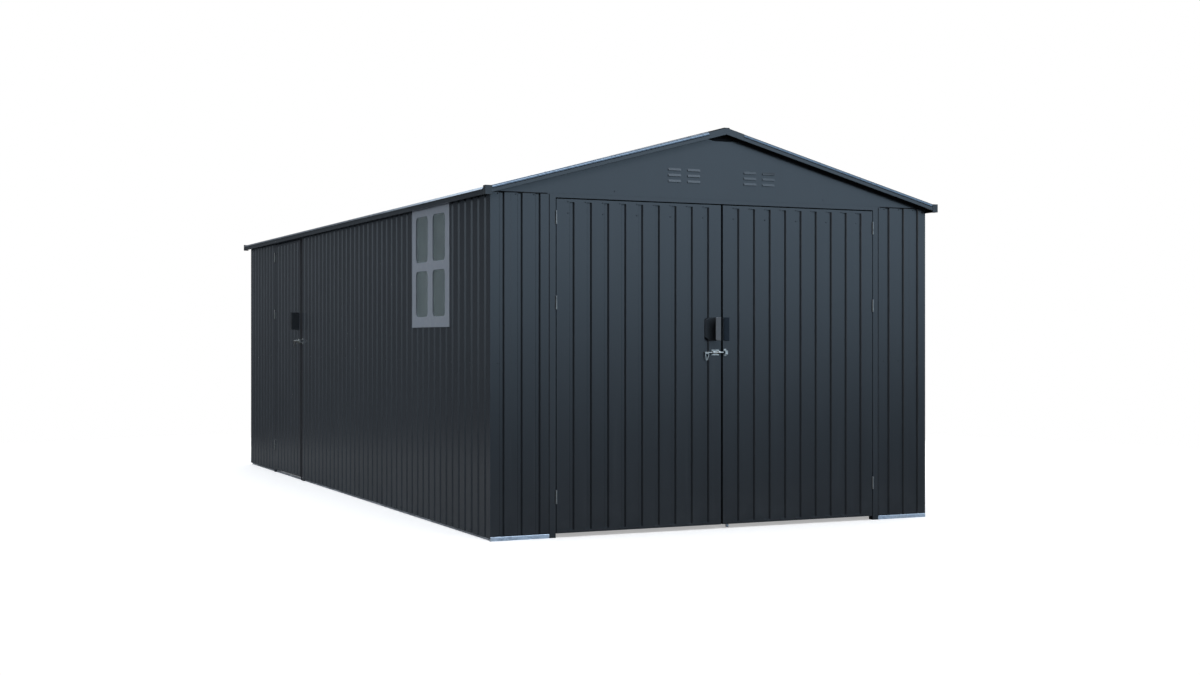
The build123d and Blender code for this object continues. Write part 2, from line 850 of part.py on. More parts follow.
# Eave trims along the sides, with moulded caps at the four corners
eave_top = roof_height(eave_edge)
eave_bottom = eave_top - eave_trim_height
flange_edge = eave_edge - eave_flange
web_inside = eave_edge - sheet
eave_points = [
    (eave_edge, eave_bottom),
    (eave_edge, roof_height(eave_edge, sheet)),
    (flange_edge, roof_height(flange_edge, sheet)),
    (flange_edge, roof_height(flange_edge)),
    (web_inside, roof_height(web_inside)),
    (web_inside, eave_bottom + sheet),
    (eave_edge - eave_lip, eave_bottom + sheet),
    (eave_edge - eave_lip, eave_bottom),
]
eave_end = roof_end - rake_flange - seat

with BuildPart() as eave_trims:
    extrude(outline(across(-eave_end), eave_points), amount=2 * eave_end)
    mirror(about=Plane.YZ)
finish(eave_trims.part, "eave_trims")

cap_inner_x = eave_edge - cap_size
cap_inner_y = cap_size - roof_end
cap_bottom = eave_bottom - cap_wall
cap_top = roof_height(cap_inner_x, sheet) + seat
cap_wall_points = [
    (cap_inner_x, -roof_end - cap_wall),
    (eave_edge + cap_wall, -roof_end - cap_wall),
    (eave_edge + cap_wall, cap_inner_y),
    (eave_edge, cap_inner_y),
    (eave_edge, -roof_end),
    (cap_inner_x, -roof_end),
]

with BuildPart() as eave_end_caps:
    extrude(outline(Plane.XY.offset(cap_bottom), cap_wall_points), amount=cap_top - cap_bottom)
    floor_plate = rectangle(
        Plane.XY.offset(cap_bottom), cap_inner_x, eave_edge + cap_wall, -roof_end - cap_wall, cap_inner_y
    )
    extrude(floor_plate, amount=cap_wall)
    mirror(about=Plane.YZ)
    mirror(about=Plane.XZ)
finish(eave_end_caps.part, "eave_end_caps")

# Roof frame: ridge beam, purlins, and one truss at mid-length
beam_half = ridge_beam_width / 2
beam_top = roof_height(beam_half, -skin) - seat
beam_bottom = beam_top - ridge_beam_height
beam_end = half_depth - ridge_beam_inset

with BuildPart() as ridge_beam:
    section = outline(across(-beam_end), channel(-beam_half, beam_half, beam_top, beam_bottom, steel))
    extrude(section, amount=2 * beam_end)
finish(ridge_beam.part, "ridge_beam")

purlin_end = half_depth - seat
purlin_top = skin + seat
purlin_half = purlin_size / 2
purlin_points = channel(-purlin_half, purlin_half, purlin_top, purlin_top + purlin_size, steel)
down_slope = (cos(pitch_angle), 0, -sin(pitch_angle))

with BuildPart() as roof_purlins:
    for share in purlin_shares:
        x = share * half_width
        plane = Plane(origin=(x, -purlin_end, roof_height(x)), x_dir=down_slope, z_dir=(0, 1, 0))
        extrude(outline(plane, purlin_points), amount=2 * purlin_end)
    mirror(about=Plane.YZ)
finish(roof_purlins.part, "roof_purlins")

tie_top = rail_top - steel - seat
tie_bottom = tie_top - tie_beam_size
tie_half = half_width - skin - steel - seat
tie_plane = Plane(origin=(-tie_half, 0, 0), x_dir=(0, 1, 0), z_dir=(1, 0, 0))

with BuildPart() as roof_tie_beam:
    section = outline(tie_plane, channel(-tie_beam_size / 2, tie_beam_size / 2, tie_top, tie_bottom, steel))
    extrude(section, amount=2 * tie_half)
finish(roof_tie_beam.part, "roof_tie_beam")

rafter_half = rafter_size / 2
rafter_top = -purlin_top - purlin_size - seat
rafter_points = channel(-rafter_half, rafter_half, rafter_top, rafter_top - rafter_size, steel)

with BuildPart() as roof_rafters:
    extrude(outline(slope_plane(0, 0), rafter_points), amount=half_width / cos(pitch_angle))
    split(bisect_by=Plane.YZ.offset(beam_half + seat), keep=Keep.TOP)
    split(bisect_by=Plane.XY.offset(tie_top + seat), keep=Keep.TOP)
    mirror(about=Plane.YZ)
finish(roof_rafters.part, "roof_rafters")

with BuildPart() as roof_king_post:
    foot = Plane.XY.offset(tie_top + seat)
    section = outline(foot, channel(-beam_half, beam_half, -rafter_half, rafter_half, steel))
    extrude(section, amount=beam_bottom - tie_top - 2 * seat)
finish(roof_king_post.part, "roof_king_post")
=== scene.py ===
# %% [markdown]
# # A metal storage shed
#
# The shed comes as a imported model in which every sheet, rail and door already has its true shape and place.
# This lesson dresses it: paint, bare steel and plastic for what is there, and the small things that the
# model leaves out, such as the screws, the rolled edges of the roof and the rounded corners of the moulded
# pieces. The dark strips beside the side door are painted shade. The model is loaded first.

# %% Load the shed
import json
from math import cos, pi, radians, sin, tan

import bmesh
import bpy
from mathutils import Matrix, Vector


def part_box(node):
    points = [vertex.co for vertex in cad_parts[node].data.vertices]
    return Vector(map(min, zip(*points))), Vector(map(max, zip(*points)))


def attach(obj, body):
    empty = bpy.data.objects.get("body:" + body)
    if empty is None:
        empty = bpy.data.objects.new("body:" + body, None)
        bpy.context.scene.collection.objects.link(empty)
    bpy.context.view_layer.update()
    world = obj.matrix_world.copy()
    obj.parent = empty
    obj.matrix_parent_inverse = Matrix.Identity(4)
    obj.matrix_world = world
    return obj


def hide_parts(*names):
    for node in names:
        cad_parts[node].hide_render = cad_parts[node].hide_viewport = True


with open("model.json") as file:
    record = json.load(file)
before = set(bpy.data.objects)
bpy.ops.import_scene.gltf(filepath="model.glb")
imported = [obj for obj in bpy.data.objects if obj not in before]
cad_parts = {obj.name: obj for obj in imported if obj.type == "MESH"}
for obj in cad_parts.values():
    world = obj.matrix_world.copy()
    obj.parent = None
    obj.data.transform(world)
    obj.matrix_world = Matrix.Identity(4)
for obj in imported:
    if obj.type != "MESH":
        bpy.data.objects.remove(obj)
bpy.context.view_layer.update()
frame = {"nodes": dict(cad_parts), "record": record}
nodes = frame["nodes"]
record = frame["record"]
slot_of = {part["node"]: part["material_slot"] for part in record["subparts"]}
body_of = {node: body for body, group in record["behaviour"]["bodies"].items() for node in group}

# %% [markdown]
# ## Sums in a shader
#
# A finish is mostly sums of noise and height, and a row of Math nodes is hard to read. One small class
# holds a socket, so that a sum is written as Python writes it and the Math nodes are added as it is worked
# out. Every other node comes from one method, which sets the node's own choices before its sockets.

# %% A socket that does sums
class Field:
    """An output socket of one node tree."""

    def __init__(self, tree, socket=None):
        self.tree = tree
        self.socket = socket

    def node(self, kind, settings, values, output=0):
        made = self.tree.nodes.new(kind)
        for name, value in settings.items():
            setattr(made, name, value)
        for name, value in values.items():
            if isinstance(value, Field):
                self.tree.links.new(value.socket, made.inputs[name])
            else:
                made.inputs[name].default_value = value
        return Field(self.tree, made.outputs[output])

    def sums(self, operation, first, second):
        return self.node("ShaderNodeMath", {"operation": operation}, {0: first, 1: second})

    def __add__(self, other):
        return self.sums("ADD", self, other)

    def __radd__(self, other):
        return self.sums("ADD", other, self)

    def __sub__(self, other):
        return self.sums("SUBTRACT", self, other)

    def __rsub__(self, other):
        return self.sums("SUBTRACT", other, self)

    def __mul__(self, other):
        return self.sums("MULTIPLY", self, other)

    def __rmul__(self, other):
        return self.sums("MULTIPLY", other, self)

    def between(self, low, high):
        """0 below low, 1 above high and smooth between them."""
        settings = {"interpolation_type": "SMOOTHSTEP", "clamp": True}
        return self.node("ShaderNodeMapRange", settings, {"Value": self, "From Min": low, "From Max": high})

    def along(self, axis):
        """One axis of a vector."""
        return self.node("ShaderNodeSeparateXYZ", {}, {"Vector": self}, axis)

    def noise(self, scale, detail=3.0, stretch=(1.0, 1.0, 1.0)):
        mapped = self.node("ShaderNodeMapping", {}, {"Vector": self, "Scale": stretch})
        values = {"Vector": mapped, "Scale": scale, "Detail": detail}
        return self.node("ShaderNodeTexNoise", {}, values, "Fac")

    def mix(self, first, second):
        """The first colour where this field is 0, the second where it is 1."""
        return self.node("ShaderNodeMix", {"data_type": "RGBA"}, {"Factor": self, 6: first, 7: second}, 2)

    def bump(self, strength, distance, under=None):
        values = {"Height": self, "Strength": strength, "Distance": distance}
        if under:
            values["Normal"] = under
        return self.node("ShaderNodeBump", {}, values)


print("field ready")

# %% [markdown]
# ## Starting a finish
#
# Every finish begins alike, with a new material, the place on the object in metres, and the inputs of its
# Principled shader. Each could be linked by hand in every finish, but two helpers keep a finish down to
# what is its own: one starts it, and one sets or links the inputs by name.

# %% Start a finish and feed its shader
def finish_named(name):
    """A new material, its place on the object and its shader's inputs."""
    material = bpy.data.materials.new(name)
    material.use_nodes = True
    place = Field(material.node_tree).node("ShaderNodeTexCoord", {}, {}, "Object")
    inputs = material.node_tree.nodes["Principled BSDF"].inputs
    return material, place, inputs


def feed(inputs, **values):
    """Sets or links a shader's inputs, named with _ for a space."""
    for name, value in values.items():
        socket = inputs[name.replace("_", " ")]
        if isinstance(value, Field):
            value.tree.links.new(value.socket, socket)
        else:
            socket.default_value = value


print("finishes can start")

# %% [markdown]
# ## Paint on steel sheet
#
# The sheets are coil-coated: a smooth satin paint with a very faint orange-peel skin. Thin sheet is never
# quite flat, so a slow wave in the surface bends what it reflects. Rain leaves long upright streaks, and
# the foot of each wall carries a little dust. One flat colour would do from afar, but a large plain wall
# then looks like card. All of it is measured in metres on the object, so that it keeps its size on every
# sheet. The roof weathers first, so its paint is duller than that of the walls.

# %% Painted sheet
dust = (0.073, 0.076, 0.078, 1.0)
anthracite = (0.0252, 0.0294, 0.0348, 1.0)


def paint(name, colour, gloss, shine=0.5):
    material, place, inputs = finish_named(name)
    streaks = place.noise(24.0, 4.0, (1.0, 1.0, 0.05))
    cloud = place.noise(1.9, 3.0)
    foot = (1.0 - place.along("Z").between(0.0, 0.3)) * place.noise(9.0, 3.0).between(0.3, 0.8)
    dusty = foot * 0.12 + streaks.between(0.55, 0.85) * 0.06
    deeper = tuple(channel * 0.92 for channel in colour[:3]) + (1.0,)
    tone = cloud.between(0.3, 0.7).mix(deeper, colour)
    peel = place.noise(420.0, 2.0).bump(0.02, 0.0004)
    wave = place.noise(1.3, 1.0, (1.0, 1.0, 0.5))
    feed(
        inputs,
        Base_Color=dusty.mix(tone, dust),
        Roughness=gloss + streaks * 0.05 + dusty * 0.3,
        Normal=wave.bump(0.025, 0.01, peel),
        IOR=1.5,
        Specular_IOR_Level=shine,
    )
    return material


sheet_paint = paint("sheet paint", anthracite, 0.2)
roof_paint = paint("roof paint", anthracite, 0.45, 0.07)
trim_paint = paint("trim paint", (0.027, 0.0315, 0.037, 1.0), 0.22)
cap_plastic = paint("cap plastic", (0.02, 0.0235, 0.027, 1.0), 0.36)
print("paints made:", sheet_paint.name, roof_paint.name, trim_paint.name, cap_plastic.name)

# %% [markdown]
# ## Galvanised steel
#
# The rails and the roof truss are galvanised. Zinc sets in crystals, so a cell pattern about a centimetre
# across shifts both its tone and its roughness, and a white bloom dulls it in patches. Noise alone would
# give soft clouds, while the cells have the sharp borders of real spangle.

# %% Galvanised steel
def galvanised(name):
    material, place, inputs = finish_named(name)
    cells = {"Vector": place, "Scale": 95.0, "Randomness": 1.0}
    crystals = place.node("ShaderNodeTexVoronoi", {}, cells, "Color")
    spangle = crystals.node("ShaderNodeSeparateColor", {}, {"Color": crystals}, 0)
    bloom = place.noise(7.0, 5.0).between(0.45, 0.75)
    tone = spangle.mix((0.41, 0.44, 0.5, 1.0), (0.53, 0.56, 0.61, 1.0))
    feed(
        inputs,
        Base_Color=(bloom * 0.5).mix(tone, (0.36, 0.37, 0.38, 1.0)),
        Roughness=0.36 + spangle * 0.14 + bloom * 0.15,
        Metallic=0.9 - bloom * 0.35,
        Normal=place.noise(160.0, 3.0).bump(0.05, 0.001),
    )
    return material


galvanised_steel = galvanised("galvanised steel")
print("steel made:", galvanised_steel.name)

# %% [markdown]
# ## Plated steel
#
# The bolts and hinges are plated, which is more even than galvanising: a fine grain from drawing, dulled in
# patches by handling. The screws are blackened, and the rolled edges and lips of the roof are coated in a
# cool grey. Each could have a shader of its own, but they all wear the same way, so one function makes them,
# and they differ in tone and gloss only.

# %% Plated steel
edge_bright, edge_dull = (0.13, 0.15, 0.175, 1.0), (0.11, 0.125, 0.145, 1.0)


def plated(name, bright, dull, gloss):
    material, place, inputs = finish_named(name)
    grain = place.noise(240.0, 4.0, (1.0, 1.0, 6.0))
    dulled = place.noise(45.0, 4.0).between(0.45, 0.7)
    feed(
        inputs,
        Base_Color=dulled.mix(bright, dull),
        Roughness=gloss + grain * 0.12 + dulled * 0.14,
        Metallic=1.0,
        Normal=grain.bump(0.06, 0.0005),
    )
    return material


bright_steel = plated("plated steel", (0.46, 0.435, 0.4, 1.0), (0.3, 0.285, 0.265, 1.0), 0.28)
screw_steel = plated("screw steel", (0.036, 0.038, 0.042, 1.0), (0.02, 0.022, 0.025, 1.0), 0.5)
hinge_steel = plated("hinge steel", (0.21, 0.205, 0.195, 1.0), (0.15, 0.147, 0.142, 1.0), 0.36)
edge_steel = plated("rolled edge", edge_bright, edge_dull, 0.3)
lip_steel = plated("eave lip", edge_bright, edge_dull, 0.03)
print("steels made:", bright_steel.name, screw_steel.name, hinge_steel.name, edge_steel.name, lip_steel.name)

# %% [markdown]
# ## Plastics, and black for painted shade
#
# The handles are moulded black plastic with a fine spark-eroded grain. A lighter grey copy of it on the
# front faces of the front handle's lip is a painted highlight, where those faces take the light.
# The window's frame is a lighter grey moulding. A dull near-black copy is painted shade: it colours the
# strips and the plate that stand for the shadow in joints, in the ridge vent and beside the side door. A fine
# bump gives the grain, and a coarser noise the places where it is rubbed, so that each moulding is a little
# uneven.

# %% Moulded plastics
def moulded(name, colour, rubbed, gloss, shine=0.5):
    material, place, inputs = finish_named(name)
    grain = place.noise(900.0, 2.0)
    worn = place.noise(38.0, 5.0).between(0.48, 0.75)
    feed(
        inputs,
        Base_Color=worn.mix(colour + (1.0,), rubbed + (1.0,)),
        Roughness=gloss + grain * 0.12 - worn * 0.06,
        Normal=grain.bump(0.1, 0.0004),
        Specular_IOR_Level=shine,
    )
    return material


black_plastic = moulded("black plastic", (0.006, 0.0068, 0.008), (0.009, 0.01, 0.0115), 0.46, 0.35)
strike_plastic = moulded("strike plastic", (0.004, 0.007, 0.0115), (0.006, 0.0095, 0.015), 0.5, 0.22)
# painted highlight: a lighter grey copy of the black plastic for the lit front faces of the front handle's
# lip
grip_painted_highlight = moulded("grip painted highlight", (0.088, 0.094, 0.102), (0.105, 0.11, 0.118), 0.42)
window_plastic = moulded("window plastic", (0.156, 0.1715, 0.197), (0.17, 0.1855, 0.21), 0.42)
# painted shade: a dull near-black for strips and a plate put where there is only shadow
painted_shade_black = moulded("painted shade black", (0.006, 0.006, 0.007), (0.01, 0.01, 0.011), 0.62, 0.2)
print("plastics made:", black_plastic.name, strike_plastic.name, grip_painted_highlight.name, window_plastic.name)

# %% [markdown]
# ## The clear sheets of the window
#
# The four lights are thin plastic sheet gone a little cloudy, so that they both pass and scatter light.
# Clear glass would show the dark inside as black, and paint would hide it, so the shader mixes the two:
# most of the light goes through, tinted, and the rest is haze with faint upright wipe marks.

# %% Cloudy sheet
def cloudy_sheet(name):
    material, place, inputs = finish_named(name)
    haze = place.noise(6.0, 4.0)
    wipes = place.noise(60.0, 3.0, (1.0, 1.0, 0.12))
    feed(
        inputs,
        Base_Color=haze.between(0.3, 0.7).mix((0.2, 0.25, 0.265, 1.0), (0.24, 0.295, 0.305, 1.0)),
        Roughness=0.14 + wipes * 0.14,
        Transmission_Weight=0.7,
        IOR=1.49,
    )
    return material


window_clear = cloudy_sheet("clear sheet")
print("sheet made:", window_clear.name)

# %% [markdown]
# ## Dressing the model
#
# Every part of the model names a material slot. The parts could be painted one by one, but a table from
# slot to finish leaves none out. The hinges share a slot with the bolts and are duller, and the roof shares
# one with the walls, so those two are picked out by name.

# %% Dress the parts of the model
finishes = {
    "sheet_paint": sheet_paint,
    "trim_paint": trim_paint,
    "galvanised_steel": galvanised_steel,
    "bright_steel": bright_steel,
    "black_plastic": black_plastic,
    "cap_plastic": cap_plastic,
    "window_plastic": window_plastic,
    "window_clear": window_clear,
}
finish_of = {node: finishes[slot] for node, slot in slot_of.items()}
finish_of.update({node: hinge_steel for node in nodes if node.endswith("_hinges")})
finish_of.update({node: roof_paint for node in ("roof_sheet_left", "roof_sheet_right", "ridge_cap")})
for node, piece in nodes.items():
    for material_slot in piece.material_slots:
        material_slot.material = finish_of[node]
print("dressed", len(nodes), "parts")

# %% [markdown]
# ## Making a piece
#
# Each added piece is a mesh that stays at the origin with its place in its points, as the model's own parts
# do. An object could be moved to its place instead, but a pattern on Object coordinates would then slide.
# One helper turns a finished bmesh into such a piece, with its faces pointing outwards, and hangs it on the
# body that it rides on.

# %% A piece that rides on a body
def piece_from(name, maker, body, slot, *materials):
    bmesh.ops.recalc_face_normals(maker, faces=maker.faces)
    mesh = bpy.data.meshes.new(name)
    maker.to_mesh(mesh)
    maker.free()
    for material in materials:
        mesh.materials.append(material)
    piece = bpy.data.objects.new(name, mesh)
    bpy.context.scene.collection.objects.link(piece)
    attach(piece, body)
    return piece


print("pieces can be made")

# %% [markdown]
# ## The sides of the shed
#
# A side of the shed is a matrix: one axis along the wall, one up it and one out of it. A screw or strip
# could be worked out anew for each wall, but this way it is made once, lying flat, and is stood on
# whichever side it belongs to. The faces are measured from the model's own parts.

# %% The four sides
def side_matrix(along, up, out, origin):
    axes = Matrix((along, up, out)).transposed().to_4x4()
    return Matrix.Translation(origin) @ axes


def reach(node, axis, high):
    """The outermost place of a part along an axis."""
    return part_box(node)[1 if high else 0][axis]


def span(node, axis, sign=1):
    """Where a part starts and stops along an axis, or along its mirror."""
    low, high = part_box(node)
    return sorted((sign * low[axis], sign * high[axis]))


def on_side(side, along, height):
    return side @ Matrix.Translation((along, height, 0.0))


across, back, upright = Vector((1, 0, 0)), Vector((0, 1, 0)), Vector((0, 0, 1))
front_face = reach("left_door_skin", 1, False)
back_face = reach("back_wall_panel_1", 1, True)
left_face = reach("side_door_skin", 0, False)
right_face = reach("right_wall_panel_1", 0, True)
front_side = side_matrix(across, upright, -back, (0, front_face, 0))
back_side = side_matrix(-across, upright, back, (0, back_face, 0))
left_side = side_matrix(-back, upright, -across, (left_face, 0, 0))
right_side = side_matrix(back, upright, across, (right_face, 0, 0))
print("faces at", round(front_face, 4), round(back_face, 4), round(left_face, 4), round(right_face, 4))

# %% [markdown]
# ## Rounded mouldings
#
# Plastic comes out of a mould with rounded edges, and it is the edge that catches the light. A Bevel
# modifier would stumble over the model's loose triangles, so the window frame, the two handles and the
# plate beside the front handle are copied, their doubled points are joined, and every sharp edge is
# bevelled. Each copy then stands for its part. The front faces of the front handle's lip get a lighter grey
# plastic, which is a painted highlight where they face the light.

# %% Round the moulded parts
def rounded_copy(node, offset):
    maker = bmesh.new()
    maker.from_mesh(nodes[node].data)
    bmesh.ops.remove_doubles(maker, verts=maker.verts, dist=0.00002)
    bmesh.ops.dissolve_limit(maker, angle_limit=radians(1.0), verts=maker.verts, edges=maker.edges)
    sharp = [edge for edge in maker.edges if edge.is_manifold and edge.calc_face_angle() > radians(40)]
    bmesh.ops.bevel(
        maker,
        geom=sharp,
        offset=offset,
        offset_type="OFFSET",
        segments=2,
        profile=0.5,
        affect="EDGES",
        material=-1,
    )
    return maker


def replace_rounded(node, offset, *materials, second=None):
    """Rounds a part; faces for which second is true get the second material."""
    maker = rounded_copy(node, offset)
    if second:
        for face in maker.faces:
            face.material_index = 1 if second(face) else 0
    piece = piece_from(node + "_rounded", maker, body_of[node], slot_of[node], *materials)
    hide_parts(node)
    return piece


handle_front = reach("left_door_handle", 1, False)
painted_highlight_depth = 0.003


# faces in front of this depth are the lip's front, which gets the painted highlight grey
def on_painted_highlight(face):
    return face.calc_center_median().y < handle_front + painted_highlight_depth


rounded = [
    replace_rounded("window_frame", 0.0016, window_plastic),
    replace_rounded("side_door_handle", 0.0018, black_plastic),
    replace_rounded("right_door_strike", 0.0006, strike_plastic),
    replace_rounded("left_door_handle", 0.0018, black_plastic, grip_painted_highlight, second=on_painted_highlight),
]
print("rounded:", [(piece.name, len(piece.data.polygons)) for piece in rounded])

# %% [markdown]
# ## Screws
#
# The sheets are held by small dark pan-head screws, the latch plates by smaller ones, and the roof by
# larger hexagon ones on washers. A head is turned work, so its half outline is spun once round its axis.
# One screw of each kind is made with a few dozen faces, and it is copied to all its places in one mesh for
# each body, because hundreds of separate objects would only slow the file.

# %% One screw of each kind
def full_turn(maker, points, lines, centre, segments):
    """Spins an outline once round an upright axis."""
    whole = {"cent": centre, "axis": upright, "angle": 2 * pi, "steps": segments, "use_merge": True}
    bmesh.ops.spin(maker, geom=points + lines, **whole)


def turned_head(rings, segments):
    """A head turned from rings of (radius, height), closed at both ends."""
    maker = bmesh.new()
    outline = [(0.0, rings[0][1]), *rings, (0.0, rings[-1][1])]
    points = [maker.verts.new((radius, 0.0, height)) for radius, height in outline]
    lines = [maker.edges.new(ends) for ends in zip(points, points[1:])]
    full_turn(maker, points, lines, Vector(), segments)
    bmesh.ops.remove_doubles(maker, verts=maker.verts, dist=0.00001)
    head = bpy.data.meshes.new("head")
    maker.to_mesh(head)
    maker.free()
    return head


small_rings = ((0.0042, -0.0004), (0.0042, 0.0008), (0.0032, 0.0018), (0.0014, 0.0022))
plate_rings = ((0.003, -0.0004), (0.003, 0.0006), (0.0022, 0.0014), (0.001, 0.0016))
roof_rings = ((0.0085, -0.0004), (0.008, 0.0012), (0.0046, 0.0016), (0.0046, 0.0044), (0.0038, 0.005))
small_head = turned_head(small_rings, 8)
plate_head = turned_head(plate_rings, 8)
roof_head = turned_head(roof_rings, 6)


def screws(name, head, places, body, slot, material):
    maker = bmesh.new()
    for place in places:
        first = len(maker.verts)
        maker.from_mesh(head)
        maker.verts.ensure_lookup_table()
        bmesh.ops.transform(maker, matrix=place, verts=maker.verts[first:])
    return piece_from(name, maker, body, slot, material)


print("heads:", [len(head.polygons) for head in (small_head, plate_head, roof_head)])

# %% [markdown]
# ## Screws on the doors
#
# On a door the screws sit on the flat beside each rib, one row along the head and one along the foot, with
# a second row under every other rib. The ribs are a pitch apart and centred on their sheet, as in the
# model, so the places are worked out from the sheet's own width and aren't set by eye.

# %% Screws on the doors
rib_pitch = 0.11
shoulder = 0.026
leaf_rows = (1.925, 0.04)
leaf_second_row = 1.86


def rib_places(start, stop):
    """The rib centres on a sheet, as the sheet has them: a pitch apart and centred."""
    count = int((stop - start) / rib_pitch)
    middle = (start + stop) / 2
    return [middle + rib_pitch * (step - (count - 1) / 2) for step in range(count)]


def leaf_screws(side, start, stop):
    ribs = [rib - shoulder for rib in rib_places(start, stop)]
    places = [on_side(side, rib, height) for rib in ribs for height in leaf_rows]
    return places + [on_side(side, rib, leaf_second_row) for rib in ribs[::2]]


leaves = {
    "left_door": (front_side, span("left_door_skin", 0)),
    "right_door": (front_side, span("right_door_skin", 0)),
    "side_door": (left_side, span("side_door_skin", 1, -1)),
}
for body, (side, (start, stop)) in leaves.items():
    heads = leaf_screws(side, start, stop)
    screws(body + "_screws", small_head, heads, body, "bright_steel", screw_steel)
    print(body, "screws:", len(heads))

# %% [markdown]
# ## Screws on the walls
#
# The walls are screwed to their foot, middle and head rails: the two narrow front sheets at every rib, the
# back at every second and the sides at every third. The gables have a few along their foot. The left wall's
# rows could be cut short at its openings, but it is simpler to lay them right through and to drop each place
# that falls on the window or the side door.

# %% Screws on the walls
rail_rows = (0.036, 1.0, 1.957)
gable_row = 1.996
gable_places = (-1.4, -0.714, 0.714, 1.4)
narrow_sheets = ("front_wall_panel_left", "front_wall_panel_right")
window_margin, door_margin = 0.02, 0.01
half_length = reach("right_wall_panel_3", 1, True) + 0.001
half_width = reach("back_wall_panel_1", 0, True)
window_low, window_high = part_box("window_frame")
door_low, door_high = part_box("side_door_jambs")


def wall_screws(side, start, stop, first, step):
    ribs = [rib - shoulder for rib in rib_places(start, stop)]
    return [on_side(side, rib, height) for rib in ribs[first::step] for height in rail_rows]


def clear_of_openings(place):
    """True where a screw on the left wall is on the sheet and not on the window or the door."""
    y, z = place.translation.y, place.translation.z
    beside_window = window_low.y - window_margin < y < window_high.y + window_margin
    beside_door = door_low.y - door_margin < y < door_high.y + door_margin
    return not (beside_window and z > window_low.z - window_margin) and not beside_door


wall_heads = []
for node in narrow_sheets:
    wall_heads += wall_screws(front_side, *span(node, 0), 0, 1)
wall_heads += wall_screws(back_side, -half_width, half_width, 1, 2)
wall_heads += wall_screws(right_side, -half_length, half_length, 1, 3)
wall_heads += filter(clear_of_openings, wall_screws(left_side, -half_length, half_length, 1, 3))
wall_heads += [on_side(side, x, gable_row) for side in (front_side, back_side) for x in gable_places]
screws("wall_screws", small_head, wall_heads, "shed", "bright_steel", screw_steel)
print("wall screws:", len(wall_heads))

# %% [markdown]
# ## Screws on the roof
#
# A roof screw goes through the flat between two ribs into a purlin, and a row on each wing of the ridge cap
# holds it down. A slope is one more side of the shed, so it gets a matrix as the walls did, and the rows are
# given by their distance from the ridge.

# %% Screws on the roof
pitch = radians(15.0)
purlin_rows = (0.535, 1.069, 1.44)
ridge_row, ridge_rise = 0.095, 0.002
sheet_low, sheet_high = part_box("roof_sheet_right")
apex = sheet_high.z + sheet_low.x * tan(pitch)


def roof_matrix(side):
    """A roof slope: x runs to the back, y down the slope from the ridge, z out of the sheet."""
    down = Vector((side * cos(pitch), 0, -sin(pitch)))
    out = Vector((side * sin(pitch), 0, cos(pitch)))
    return side_matrix(back, down, out, (0, 0, apex))


def roof_place(side, x, y, rise=0.0):
    return roof_matrix(side) @ Matrix.Translation((y, x / cos(pitch), rise))


flats = [rib_pitch * 2 * step for step in range(-13, 14)]
roof_heads = [roof_place(side, x, y) for side in (-1, 1) for x in purlin_rows for y in flats]
roof_heads += [roof_place(side, ridge_row, y, ridge_rise) for side in (-1, 1) for y in flats[::2]]
screws("roof_screws", roof_head, roof_heads, "shed", "trim_paint", roof_paint)
print("roof screws:", len(roof_heads))

# %% [markdown]
# ## Screws on the latches
#
# Each latch plate and each staple has two small plated screws, one above and one below the bolt. Their
# places come from the box of the plate itself, so that they stay on it and ride with the door that it is
# on.

# %% Screws on the latches
def plate_screws(node, side, axis, sign, spread, rise):
    """Two small screws above and below the middle of a latch plate."""
    low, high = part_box(node)
    along = sign * (low[axis] + high[axis]) / 2
    level = (low.z + high.z) / 2
    proud = Matrix.Translation((0, 0, rise))
    places = [on_side(side, along, level + lift) @ proud for lift in (-spread, spread)]
    screws(node + "_screws", plate_head, places, body_of[node], "bright_steel", bright_steel)


guide_spread, guide_rise = 0.0125, 0.002
keeper_spread, keeper_rise = 0.0165, 0.003
plate_screws("latch_guide", front_side, 0, 1, guide_spread, guide_rise)
plate_screws("side_latch_guide", left_side, 1, -1, guide_spread, guide_rise)
plate_screws("latch_keeper", front_side, 0, 1, keeper_spread, keeper_rise)
plate_screws("side_latch_keeper", left_side, 1, -1, keeper_spread, keeper_rise)
print("latch screws: 2 on each of 4 plates")

# %% [markdown]
# ## Strips of one section
#
# Edges, laps, flanges and seals are all long bars of one section. A curve with a bevel could draw them, but
# its ends would need caps of their own, so a face with the outline of the section is pushed out to the
# bar's length, which closes both ends. Three turns lay a strip up a side, along a side or down a slope of
# the roof.

# %% A strip and how it lies
def strip(maker, section, matrix, length):
    """A closed bar: its section lies in the matrix's x and y, and it runs along z."""
    corners = [maker.verts.new(matrix @ Vector((x, y, 0.0))) for x, y in section]
    end = maker.faces.new(corners)
    grown = bmesh.ops.extrude_face_region(maker, geom=[end])
    far = [item for item in grown["geom"] if isinstance(item, bmesh.types.BMVert)]
    bmesh.ops.translate(maker, verts=far, vec=matrix.to_3x3() @ Vector((0.0, 0.0, length)))


up_a_side = Matrix(((1, 0, 0), (0, 0, 1), (0, 1, 0))).to_4x4()
along_a_side = Matrix(((0, 0, 1), (1, 0, 0), (0, 1, 0))).to_4x4()
down_a_slope = Matrix(((1, 0, 0), (0, 0, 1), (0, -1, 0))).to_4x4()
print("strips can be laid")

# %% [markdown]
# ## Rolled edges and eave lips
#
# The trims along the roof are folded from thin sheet. At the gables their upper edge is rolled, which
# leaves a round bead that shows as a bright line against the sky. Along the eaves the edge is folded into a
# slanting lip that sheds the rain. Both stand a few millimetres proud of their trim and end inside the
# corner caps. A painted line would be flat and would vanish from other sides, so both are made as strips.

# %% Rolled edges and eave lips
bead_radius, bead_sides, bead_inset = 0.013, 14, 0.0105
ridge_clear = 0.122
cap_length = 0.038
trim_rise = 0.001
lip_section = ((0.008, -0.01), (-0.0025, 0.004), (-0.012, 0.004), (-0.012, -0.012), (0.004, -0.012))


def round_section(radius, sides):
    turns = [2 * pi * (step + 0.5) / sides for step in range(sides)]
    return [(radius * cos(turn), radius * sin(turn)) for turn in turns]


